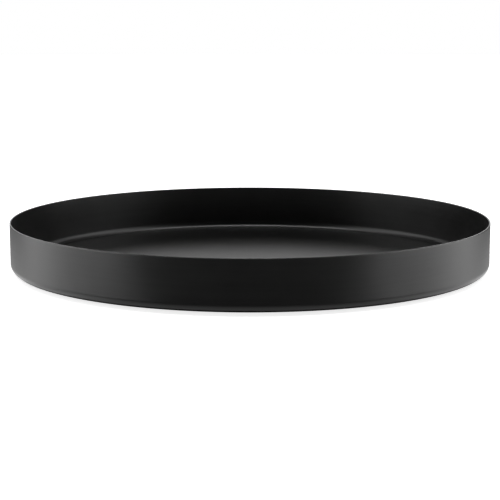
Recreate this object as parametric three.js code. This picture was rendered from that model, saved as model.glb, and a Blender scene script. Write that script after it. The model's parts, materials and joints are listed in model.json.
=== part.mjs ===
// A round serving tray. The pan is one piece of sheet metal, drawn to shape: a flat floor, a
// bend, and a low upright wall whose cut edge is rounded over to make the rim. It stands on
// soft anti-slip pads, and a disc of adhesive film holds each pad to the pan's underside.
//
// Millimetres, +Z up. The origin is the tray's centre, on the table that the pads stand on.
// The tray has no front of its own, so -Y is called the front, and +X its right.
import * as THREE from "three";

// Pan
const PAN_DIAMETER = 400; // over the wall
const PAN_HEIGHT = 40; // from the underside to the top of the rim
const SHEET = 1.2; // thickness, the same all over
const BEND_RADIUS = 6.5; // outside of the bend between floor and wall

// Pads, and the film that holds them
const PAD_CIRCLE_DIAMETER = 330; // through the pads' centres
const PAD_TOP_DIAMETER = 18;
const PAD_FOOT_DIAMETER = 17; // where the pad's side meets the rounded foot
const PAD_HEIGHT = 1.8;
const PAD_ROUND = 0.6; // radius round the foot of the pad
const FILM_DIAMETER = 16;
const FILM_THICKNESS = 0.2;

// Flat facets that stand for the round shapes
const PAN_FACETS = 128;
const PAD_FACETS = 32;
const BEND_FACETS = 8;
const RIM_FACETS = 8;
const PAD_ROUND_FACETS = 3;

const QUARTER_TURN = Math.PI / 2;
const UNDERSIDE = PAD_HEIGHT + FILM_THICKNESS; // height of the pan's underside above the table

const coatedSheet = new THREE.MeshStandardMaterial({ color: 0x1c1c1d, roughness: 0.4, metalness: 0 });
const silicone = new THREE.MeshStandardMaterial({ color: 0x2b2b2d, roughness: 0.8, metalness: 0 });
const adhesiveFilm = new THREE.MeshStandardMaterial({ color: 0xc9c7bd, roughness: 0.6, metalness: 0 });

// Points along a circular arc, in a plane whose x is the distance from the axis and y the height.
function arc(centre, radius, from, to, facets) {
  const curve = new THREE.EllipseCurve(centre.x, centre.y, radius, radius, from, to, to < from);
  return curve.getPoints(facets);
}

// The solid that a profile makes when it is turned about the vertical axis.
function turned(profile, facets) {
  return new THREE.LatheGeometry(profile, facets).rotateX(QUARTER_TURN);
}

// Half of the pan's cross-section. It runs out along the underside, up the outside, over the
// rim, down the inside, and back to the axis along the floor.
function panProfile() {
  const halfSheet = SHEET / 2;
  const bend = new THREE.Vector2(PAN_DIAMETER / 2 - BEND_RADIUS, BEND_RADIUS);
  const rim = new THREE.Vector2(PAN_DIAMETER / 2 - halfSheet, PAN_HEIGHT - halfSheet);
  return [
    new THREE.Vector2(0, 0),
    ...arc(bend, BEND_RADIUS, -QUARTER_TURN, 0, BEND_FACETS),
    ...arc(rim, halfSheet, 0, Math.PI, RIM_FACETS),
    ...arc(bend, BEND_RADIUS - SHEET, 0, -QUARTER_TURN, BEND_FACETS),
    new THREE.Vector2(0, SHEET),
  ];
}

function makePan() {
  const pan = new THREE.Mesh(turned(panProfile(), PAN_FACETS), coatedSheet);
  pan.name = "tray_pan";
  pan.position.z = UNDERSIDE;
  return pan;
}

// Half of a pad's cross-section: a slight taper, and a rounded foot.
function padProfile() {
  const footCentre = new THREE.Vector2(PAD_FOOT_DIAMETER / 2 - PAD_ROUND, PAD_ROUND);
  return [
    new THREE.Vector2(0, 0),
    ...arc(footCentre, PAD_ROUND, -QUARTER_TURN, 0, PAD_ROUND_FACETS),
    new THREE.Vector2(PAD_TOP_DIAMETER / 2, PAD_HEIGHT),
    new THREE.Vector2(0, PAD_HEIGHT),
  ];
}

function filmProfile() {
  return [
    new THREE.Vector2(0, 0),
    new THREE.Vector2(FILM_DIAMETER / 2, 0),
    new THREE.Vector2(FILM_DIAMETER / 2, FILM_THICKNESS),
    new THREE.Vector2(0, FILM_THICKNESS),
  ];
}

// A pad and its film, under the pan in the direction (x, y) from the tray's centre.
function makePad(place, x, y) {
  const pad = new THREE.Mesh(turned(padProfile(), PAD_FACETS), silicone);
  pad.name = `anti_slip_pad_${place}`;
  const film = new THREE.Mesh(turned(filmProfile(), PAD_FACETS), adhesiveFilm);
  film.name = `pad_adhesive_${place}`;
  film.position.z = PAD_HEIGHT;
  const assembly = new THREE.Group();
  assembly.add(pad, film);
  assembly.position.set(x, y, 0).setLength(PAD_CIRCLE_DIAMETER / 2);
  return assembly;
}

const tray = new THREE.Group();
tray.add(
  makePan(),
  makePad("front_left", -1, -1),
  makePad("front_right", 1, -1),
  makePad("back_left", -1, 1),
  makePad("back_right", 1, 1),
);

export default tray;
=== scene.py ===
import json
import math
from collections import namedtuple

import bmesh
import bpy
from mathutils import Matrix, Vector


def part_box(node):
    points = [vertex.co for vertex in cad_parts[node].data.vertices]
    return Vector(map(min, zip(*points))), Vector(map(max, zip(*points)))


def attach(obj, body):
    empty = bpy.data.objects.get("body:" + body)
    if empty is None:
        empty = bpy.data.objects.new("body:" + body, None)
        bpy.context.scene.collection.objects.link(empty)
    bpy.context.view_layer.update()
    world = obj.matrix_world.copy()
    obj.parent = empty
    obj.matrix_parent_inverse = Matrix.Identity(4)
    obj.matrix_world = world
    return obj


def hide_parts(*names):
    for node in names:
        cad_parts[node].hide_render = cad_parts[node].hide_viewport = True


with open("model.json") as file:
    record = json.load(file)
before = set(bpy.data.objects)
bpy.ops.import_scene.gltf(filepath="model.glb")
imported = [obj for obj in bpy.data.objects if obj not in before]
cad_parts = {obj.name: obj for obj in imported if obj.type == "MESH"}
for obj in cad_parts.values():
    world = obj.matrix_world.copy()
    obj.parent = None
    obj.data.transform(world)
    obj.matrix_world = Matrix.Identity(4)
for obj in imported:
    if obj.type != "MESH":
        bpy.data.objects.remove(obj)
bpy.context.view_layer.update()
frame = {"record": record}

# The looks of a round serving tray: a pan of drawn sheet metal in a satin black powder coat,
# standing on silicone pads that are stuck to its underside.
#
# Metres, in the CAD's frame: +Z up, the origin on the table below the tray's centre, and -Y
# to the front.

PLACES = ("front_left", "front_right", "back_left", "back_right")
MM = 0.001
QUARTER_TURN = math.pi / 2

# Shapes, as in the CAD
BEND_RADIUS = 6.5 * MM  # outside of the bend between floor and wall
PAD_TAPER = 0.5 * MM  # how much smaller a pad's radius is at its foot
PAD_ROUND = 0.6 * MM  # radius round the foot of a pad

# Fineness of the meshes
PAN_SEGMENTS = 768
PAD_SEGMENTS = 96
STAGE_SEGMENTS = 128
BEND_STEPS = 14
RIM_STEPS = 10
WALL_STEPS = 4
FLOOR_RINGS = 6
PAD_ROUND_STEPS = 6
SUPPORT = 0.2 * MM  # from the end of a curve to the next ring on the straight

# Relief of the surfaces: how fine it is, in noise cells per metre, and how high it stands
Relief = namedtuple("Relief", "scale height")
ORANGE_PEEL = Relief(600, 0.003 * MM)
COAT_GRAIN = Relief(3500, 0.001 * MM)
DRAWING_LINES = Relief(450, 0.002 * MM)  # the scale is across the lines
SILICONE_GRAIN = Relief(5000, 0.004 * MM)
BUBBLES = Relief(1200, 0.003 * MM)
LINE_CHANGES = 2.5  # noise cells along a drawing line, per radian round the axis

# Powder coat. Shine is on the shader's own scale, where 0.5 is that of plain lacquer.
COAT_SHADE = 0.001
COAT_ROUGHNESS = 0.35
COAT_SHINE = 0.5
COAT_CLOUDS = 45  # noise cells per metre
UNEVEN_ROUGHNESS = 0.015  # either way, from the clouds and again from the lines
UNEVEN_SHINE = 0.02  # likewise

# Polish that hands have left on the rim's edge, where the colour is also made lighter as a painted
# highlight
# painted highlight: the lighter colour of the rim's edge
RIM_HIGHLIGHT_SHADE = 0.006
POLISH_ROUGHNESS = -0.08  # what full polish adds to that of the coat
POLISH_SHINE = 0.15  # likewise
POLISH_PATCHES = 60  # noise cells per metre
PATCH_LIMIT = 0.6  # noise above this is a full patch, and noise below minus this is none
LEAST_POLISHED = 0.6  # share of full polish between the patches
HELD_FROM = 0.45  # from the axis to the front or the back, as a share of the radius
HELD_FULLY = 0.75
EDGE_FROM = 1.0 * MM  # below the top of the rim
EDGE_FULLY = 0.5 * MM

# Silicone and adhesive
SILICONE_SHADES = (0.026, 0.034)
SILICONE_ROUGHNESS = (0.72, 0.85)
SILICONE_CLOUDS = 300  # noise cells per metre
ADHESIVE_CLEAR = (0.42, 0.41, 0.38, 1)
ADHESIVE_MILKY = (0.55, 0.54, 0.50, 1)
ADHESIVE_ROUGHNESS = (0.35, 0.55)

USUAL_NOISE = (0.25, 0.75)  # nearly all of a noise node's values are between these


# ---------------------------------------------------------------- mesh tools

def arc(centre, radius, start, end, steps):
    """Points of a circular arc in the (radius, height) half-plane."""
    points = []
    for i in range(steps + 1):
        angle = start + (end - start) * i / steps
        points.append((centre[0] + radius * math.cos(angle), centre[1] + radius * math.sin(angle)))
    return points


def straight(start, end, steps):
    """Points along a straight line, without its two ends.

    The first and the last are close to the ends, so that smooth shading stays flat between.
    """
    length = math.dist(start, end)
    stops = [SUPPORT / length, *(i / steps for i in range(1, steps)), 1 - SUPPORT / length]
    return [tuple(a + (b - a) * stop for a, b in zip(start, end)) for stop in stops]


def ring_of_points(mesh, radius, height, segments, centre):
    """A ring of new points round an upright axis, or one point if it is on the axis."""
    if radius == 0:
        return [mesh.verts.new((centre[0], centre[1], height))]
    ring = []
    for i in range(segments):
        turn = 2 * math.pi * i / segments
        x = centre[0] + radius * math.cos(turn)
        y = centre[1] + radius * math.sin(turn)
        ring.append(mesh.verts.new((x, y, height)))
    return ring


def revolve(name, profile, segments, centre=(0, 0)):
    """A closed mesh, from a profile that runs up the outside from the axis to the axis."""
    mesh = bmesh.new()
    rings = []
    for radius, height in profile:
        rings.append(ring_of_points(mesh, radius, height, segments, centre))
    for low, high in zip(rings, rings[1:]):
        for i in range(segments):
            j = (i + 1) % segments
            if len(low) == 1:
                mesh.faces.new((low[0], high[j], high[i]))
            elif len(high) == 1:
                mesh.faces.new((low[i], low[j], high[0]))
            else:
                mesh.faces.new((low[i], low[j], high[j], high[i]))
    for face in mesh.faces:
        face.smooth = True
    return put_in_scene(name, mesh)


def put_in_scene(name, mesh):
    """A new object in the scene that holds the bmesh, which is freed."""
    data = bpy.data.meshes.new(name)
    mesh.to_mesh(data)
    mesh.free()
    made = bpy.data.objects.new(name, data)
    bpy.context.scene.collection.objects.link(made)
    return made


# ---------------------------------------------------------------- pieces

def mount_point(name):
    """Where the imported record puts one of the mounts."""
    return next(Vector(m["pos_m"]) for m in frame["record"]["mounts"] if m["name"] == name)


def centre_and_radius(node):
    """The axis and the largest radius of a round CAD node that stands upright."""
    low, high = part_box(node)
    return ((low + high) / 2).xy, (high.x - low.x) / 2


def pan_profile():
    """Half of the pan's cross-section, from the middle of the underside to that of the floor."""
    low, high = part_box("tray_pan")
    sheet = mount_point("serving_floor").z - low.z
    bend = (high.x - BEND_RADIUS, low.z + BEND_RADIUS)
    rim = (high.x - sheet / 2, high.z - sheet / 2)
    outer = arc(bend, BEND_RADIUS, -QUARTER_TURN, 0, BEND_STEPS)
    edge = arc(rim, sheet / 2, 0, math.pi, RIM_STEPS)
    inner = arc(bend, BEND_RADIUS - sheet, 0, -QUARTER_TURN, BEND_STEPS)
    underside = (0, low.z)
    floor = (0, low.z + sheet)
    return [
        underside, *straight(underside, outer[0], FLOOR_RINGS),
        *outer, *straight(outer[-1], edge[0], WALL_STEPS),
        *edge, *straight(edge[-1], inner[0], WALL_STEPS),
        *inner, *straight(inner[-1], floor, FLOOR_RINGS), floor,
    ]


def make_pan():
    pan = revolve("coated_pan", pan_profile(), PAN_SEGMENTS)
    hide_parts("tray_pan")
    return pan


def make_pad(place):
    """A silicone pad that tapers towards a foot with a rounded edge."""
    node = f"anti_slip_pad_{place}"
    low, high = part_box(node)
    centre, top = centre_and_radius(node)
    foot = top - PAD_TAPER
    profile = [
        (0, low.z),
        *arc((foot - PAD_ROUND, low.z + PAD_ROUND), PAD_ROUND, -QUARTER_TURN, 0, PAD_ROUND_STEPS),
        (top, high.z),
        (0, high.z),
    ]
    pad = revolve(f"silicone_pad_{place}", profile, PAD_SEGMENTS, centre)
    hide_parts(node)
    return pad


def make_film(place):
    """The disc of adhesive film between a pad and the pan, with its edge pressed round."""
    node = f"pad_adhesive_{place}"
    low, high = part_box(node)
    centre, radius = centre_and_radius(node)
    half = (high.z - low.z) / 2
    edge = arc((radius - half, low.z + half), half, -QUARTER_TURN, QUARTER_TURN, PAD_ROUND_STEPS)
    film = revolve(f"adhesive_film_{place}", [(0, low.z), *edge, (0, high.z)], PAD_SEGMENTS, centre)
    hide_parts(node)
    return film


# ---------------------------------------------------------------- node tools

class Graph:
    """A node tree, with a short call for each kind of node that is used below."""

    def __init__(self, owner):
        owner.use_nodes = True
        self.tree = owner.node_tree

    def fill(self, node, inputs):
        """Give a node's inputs their values, each a number, a colour or another node's output."""
        for name, value in inputs.items():
            socket = node.inputs[name]
            if isinstance(value, bpy.types.NodeSocket):
                self.tree.links.new(value, socket)
            else:
                socket.default_value = value

    def node(self, kind, inputs, **settings):
        made = self.tree.nodes.new(kind)
        for name, value in settings.items():
            setattr(made, name, value)
        self.fill(made, inputs)
        return made

    def place(self):
        """Where a point is on its object, in metres."""
        return self.node("ShaderNodeTexCoord", {}).outputs["Object"]

    def axes(self, vector):
        """The three numbers of a vector."""
        return self.node("ShaderNodeSeparateXYZ", {0: vector}).outputs

    def math(self, operation, first, second=0.0):
        return self.node("ShaderNodeMath", {0: first, 1: second}, operation=operation).outputs[0]

    def product(self, first, second):
        return self.math("MULTIPLY", first, second)

    def total(self, *values):
        """The sum of any number of values."""
        result = values[0]
        for value in values[1:]:
            result = self.math("ADD", result, value)
        return result

    def noise(self, vector, scale, detail=2.0):
        """Smooth noise that runs from about -1 to 1, about zero."""
        made = self.node("ShaderNodeTexNoise", {"Vector": vector, "Scale": scale, "Detail": detail})
        return self.ramp(made.outputs["Fac"], *USUAL_NOISE, -1, 1)

    def ramp(self, value, low, high, at_low=0.0, at_high=1.0, soft=False):
        """The value, mapped from low..high to at_low..at_high, and held there outside."""
        inputs = {
            "Value": value,
            "From Min": low,
            "From Max": high,
            "To Min": at_low,
            "To Max": at_high,
        }
        kind = "SMOOTHSTEP" if soft else "LINEAR"
        return self.node("ShaderNodeMapRange", inputs, interpolation_type=kind).outputs[0]

    def mix_colour(self, amount, first, second):
        """From the first colour at 0 to the second at 1.

        The sockets go by number, as those for colours have the same names as those for numbers.
        """
        made = self.node("ShaderNodeMix", {0: amount, 6: first, 7: second}, data_type="RGBA")
        return made.outputs[2]

    def bump(self, height):
        """The normal of a surface raised by so many metres."""
        inputs = {"Height": height, "Distance": 1.0, "Strength": 1.0}
        return self.node("ShaderNodeBump", inputs).outputs[0]


def grey(level):
    return (level, level, level, 1)


# ---------------------------------------------------------------- materials

def new_material(name):
    """A new material, its graph and its shader."""
    material = bpy.data.materials.new(name)
    graph = Graph(material)
    return material, graph, graph.tree.nodes["Principled BSDF"]


def turned_place(graph, place, turns, rings):
    """A place for noise that runs in streaks round the axis.

    turns is how fast the noise changes along a streak, and rings how fast it changes across
    one, per metre out along the floor or up the wall.
    """
    x, y, z = graph.axes(place)
    flat = graph.node("ShaderNodeCombineXYZ", {0: x, 1: y}).outputs[0]
    length = graph.node("ShaderNodeVectorMath", {0: flat}, operation="LENGTH")
    radius = length.outputs["Value"]
    inputs = {
        0: graph.product(graph.math("DIVIDE", x, radius), turns),
        1: graph.product(graph.math("DIVIDE", y, radius), turns),
        2: graph.product(graph.math("ADD", radius, z), rings),
    }
    return graph.node("ShaderNodeCombineXYZ", inputs).outputs[0]


def rim_polish_and_highlight(graph, place):
    """How polished the coat is, from 0 to 1, and how strong the painted highlight on the rim is:
    patches on the rim's edge, at the front and back.
    """
    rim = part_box("tray_pan")[1]
    y, z = graph.axes(place)[1:3]
    to_front_or_back = graph.math("ABSOLUTE", y)
    held = graph.ramp(to_front_or_back, HELD_FROM * rim.y, HELD_FULLY * rim.y, soft=True)
    noise = graph.noise(place, POLISH_PATCHES, detail=3)
    patches = graph.ramp(noise, -PATCH_LIMIT, PATCH_LIMIT, LEAST_POLISHED, 1)
    on_edge = graph.ramp(z, rim.z - EDGE_FROM, rim.z - EDGE_FULLY, soft=True)
    return graph.product(on_edge, graph.product(held, patches))


def coated_sheet():
    """Satin black powder coat: fine grain on a faint orange peel, over the sheet's drawing lines.

    The coat is a little uneven, and hands have polished the rim where they hold it. There its
    colour is made lighter too, as a painted highlight.
    """
    material, graph, surface = new_material("coated_sheet")
    place = graph.place()
    polish_and_highlight = rim_polish_and_highlight(graph, place)
    peel = graph.noise(place, ORANGE_PEEL.scale)
    grain = graph.noise(place, COAT_GRAIN.scale)
    turned = turned_place(graph, place, LINE_CHANGES, DRAWING_LINES.scale)
    lines = graph.noise(turned, 1, detail=3)
    cloud = graph.noise(place, COAT_CLOUDS, detail=3)
    height = graph.total(
        graph.product(peel, ORANGE_PEEL.height),
        graph.product(grain, COAT_GRAIN.height),
        graph.product(lines, DRAWING_LINES.height),
    )
    roughness = graph.total(
        COAT_ROUGHNESS,
        graph.product(cloud, UNEVEN_ROUGHNESS),
        graph.product(lines, UNEVEN_ROUGHNESS),
        graph.product(polish_and_highlight, POLISH_ROUGHNESS),
    )
    shine = graph.total(
        COAT_SHINE,
        graph.product(cloud, UNEVEN_SHINE),
        graph.product(lines, UNEVEN_SHINE),
        graph.product(polish_and_highlight, POLISH_SHINE),
    )
    graph.fill(surface, {
        # the lighter colour on the rim's edge is a painted highlight
        "Base Color": graph.mix_colour(polish_and_highlight, grey(COAT_SHADE), grey(RIM_HIGHLIGHT_SHADE)),
        "Roughness": roughness,
        "Specular IOR Level": shine,
        "Normal": graph.bump(height),
    })
    return material


def pad_silicone():
    """Matt dark grey silicone, moulded with a fine grain."""
    material, graph, surface = new_material("pad_silicone")
    place = graph.place()
    cloud = graph.noise(place, SILICONE_CLOUDS, detail=3)
    grain = graph.noise(place, SILICONE_GRAIN.scale)
    darker, lighter = SILICONE_SHADES
    graph.fill(surface, {
        "Base Color": graph.mix_colour(graph.ramp(cloud, -1, 1), grey(darker), grey(lighter)),
        "Roughness": graph.ramp(cloud, -1, 1, *SILICONE_ROUGHNESS),
        "Normal": graph.bump(graph.product(grain, SILICONE_GRAIN.height)),
    })
    return material


def adhesive_film():
    """Milky acrylic film, with the cloudiness of small trapped bubbles."""
    material, graph, surface = new_material("adhesive_film")
    bubbles = graph.noise(graph.place(), BUBBLES.scale, detail=3)
    graph.fill(surface, {
        "Base Color": graph.mix_colour(graph.ramp(bubbles, -1, 1), ADHESIVE_CLEAR, ADHESIVE_MILKY),
        "Roughness": graph.ramp(bubbles, -1, 1, *ADHESIVE_ROUGHNESS),
        "Normal": graph.bump(graph.product(bubbles, BUBBLES.height)),
    })
    return material


def finish_pieces(pieces, material):
    for piece in pieces:
        piece.data.materials.append(material)
        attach(piece, "root")


finish_pieces([make_pan()], coated_sheet())
finish_pieces([make_pad(place) for place in PLACES], pad_silicone())
finish_pieces([make_film(place) for place in PLACES], adhesive_film())


# ---------------------------------------------------------------- studio

# A studio light that is far away: a soft-edged patch of the surroundings. Azimuth is turned from
# the camera's side, 0, to the back, 180, the same to the left and to the right. Degrees. A span
# that runs past the end of its scale has no edge there, and soft is half the width of an edge.
Softbox = namedtuple("Softbox", "strength azimuth elevation soft")

SOFTBOXES = {
    "side_panels": Softbox(1.70, (64, 116), (4, 59), 10),
    "side_skirts": Softbox(4.7, (56, 126), (-7, 3), 6),
    "overhead": Softbox(11.5, (-90, 270), (83, 120), 3),
    "overhead_wings": Softbox(9.5, (86, 122), (67, 91), 10),
    "back_lamps": Softbox(4.15, (134, 170), (17, 30), 4),
    "back_card": Softbox(1.6, (161, 270), (3, 21), 6),
    "camera_side": Softbox(0.95, (-90, 73), (-2, 7), 3),
    "floor_behind": Softbox(1.35, (98, 270), (-22, -10), 3),
    "floor_sides": Softbox(0.95, (71, 270), (-42, -19), 8),
    "table": Softbox(0.6, (-90, 270), (-120, -32), 20),
}
BACKDROP = 1.0  # what the camera sees behind the floor
FLOOR_RADIUS = 6.0
FLOOR_SHADE = 0.8
FLOOR_GLOW = 0.8  # light that comes up through the floor, where 1 is white
# Painted shade under the tray, where the tray keeps light off the floor
PAINTED_SHADE_LEVEL = 0.02
PAINTED_SHADE_INSET = 2.5 * MM  # how far inside the wall the painted shade under the tray starts
PAINTED_SHADE_DEPTH = 0.1 * MM  # below the surface of the floor
CAMERA_LENS = 99.0  # in millimetres
CAMERA_DISTANCE = 1.1665  # from the middle of the pan's underside
CAMERA_ELEVATION = math.radians(10.32)
CAMERA_PITCH = math.radians(9.757)


def window(graph, value, span, soft):
    """1 where the value is within the span, fading to 0 across its ends."""
    rises = graph.ramp(value, span[0] - soft, span[0] + soft, soft=True)
    falls = graph.ramp(value, span[1] - soft, span[1] + soft, 1, 0, soft=True)
    return graph.product(rises, falls)


def light_studio():
    """Surroundings of softboxes for everything but the camera, which sees a plain backdrop."""
    world = bpy.data.worlds.new("studio")
    bpy.context.scene.world = world
    graph = Graph(world)
    direction = graph.node("ShaderNodeTexCoord", {}).outputs["Generated"]
    x, y, z = graph.axes(direction)
    turn = graph.math("ARCTAN2", graph.math("ABSOLUTE", x), graph.product(y, -1))
    azimuth = graph.math("DEGREES", turn)
    elevation = graph.math("DEGREES", graph.math("ARCSINE", z))
    light = []
    for box in SOFTBOXES.values():
        across = window(graph, azimuth, box.azimuth, box.soft)
        upwards = window(graph, elevation, box.elevation, box.soft)
        light.append(graph.product(graph.product(across, upwards), box.strength))
    seen = graph.node("ShaderNodeLightPath", {}).outputs["Is Camera Ray"]
    graph.fill(graph.tree.nodes["Background"], {
        "Color": grey(1),
        "Strength": graph.ramp(seen, 0, 1, graph.total(*light), BACKDROP),
    })


def flat_disc(name, radius, height):
    """A round stage piece that faces up."""
    mesh = bmesh.new()
    bmesh.ops.create_circle(mesh, cap_ends=True, segments=STAGE_SEGMENTS, radius=radius)
    bmesh.ops.translate(mesh, verts=mesh.verts, vec=(0, 0, height))
    disc = put_in_scene(name, mesh)
    return disc


def make_floor():
    """A plain pale floor, lit from above and from below, as a shooting table is.

    Only the camera sees it. In reflections the softboxes below the horizon stand for it.
    """
    floor = flat_disc("floor", FLOOR_RADIUS, 0)
    material, graph, surface = new_material("floor")
    graph.fill(surface, {
        "Base Color": grey(FLOOR_SHADE),
        "Roughness": 1.0,
        "Specular IOR Level": 0.0,
        "Emission Color": grey(1),
        "Emission Strength": FLOOR_GLOW,
    })
    floor.data.materials.append(material)
    floor.visible_diffuse = False
    floor.visible_glossy = False
    floor.visible_shadow = False


def make_painted_shade_under_tray():
    """Painted shade below the tray: a black disc just under the floor, which the camera doesn't
    see. Only the tray's underside and bend see it, in reflections and as light kept off them.
    """
    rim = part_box("tray_pan")[1]
    disc = flat_disc("painted_shade_under_tray", rim.x - PAINTED_SHADE_INSET, -PAINTED_SHADE_DEPTH)
    material, graph, surface = new_material("painted_shade_under_tray")
    graph.fill(surface, {"Base Color": grey(PAINTED_SHADE_LEVEL), "Roughness": 1.0})
    disc.data.materials.append(material)
    disc.visible_camera = False


def aim_camera():
    camera = bpy.data.objects.new("camera", bpy.data.cameras.new("camera"))
    camera.data.lens = CAMERA_LENS
    target = Vector((0, 0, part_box("tray_pan")[0].z))
    camera.location = target + CAMERA_DISTANCE * Vector(
        (0, -math.cos(CAMERA_ELEVATION), math.sin(CAMERA_ELEVATION))
    )
    camera.rotation_euler = (QUARTER_TURN - CAMERA_PITCH, 0, 0)
    bpy.context.scene.collection.objects.link(camera)
    bpy.context.scene.camera = camera


light_studio()
make_floor()
make_painted_shade_under_tray()
aim_camera()
bpy.context.scene.view_settings.view_transform = "Standard"
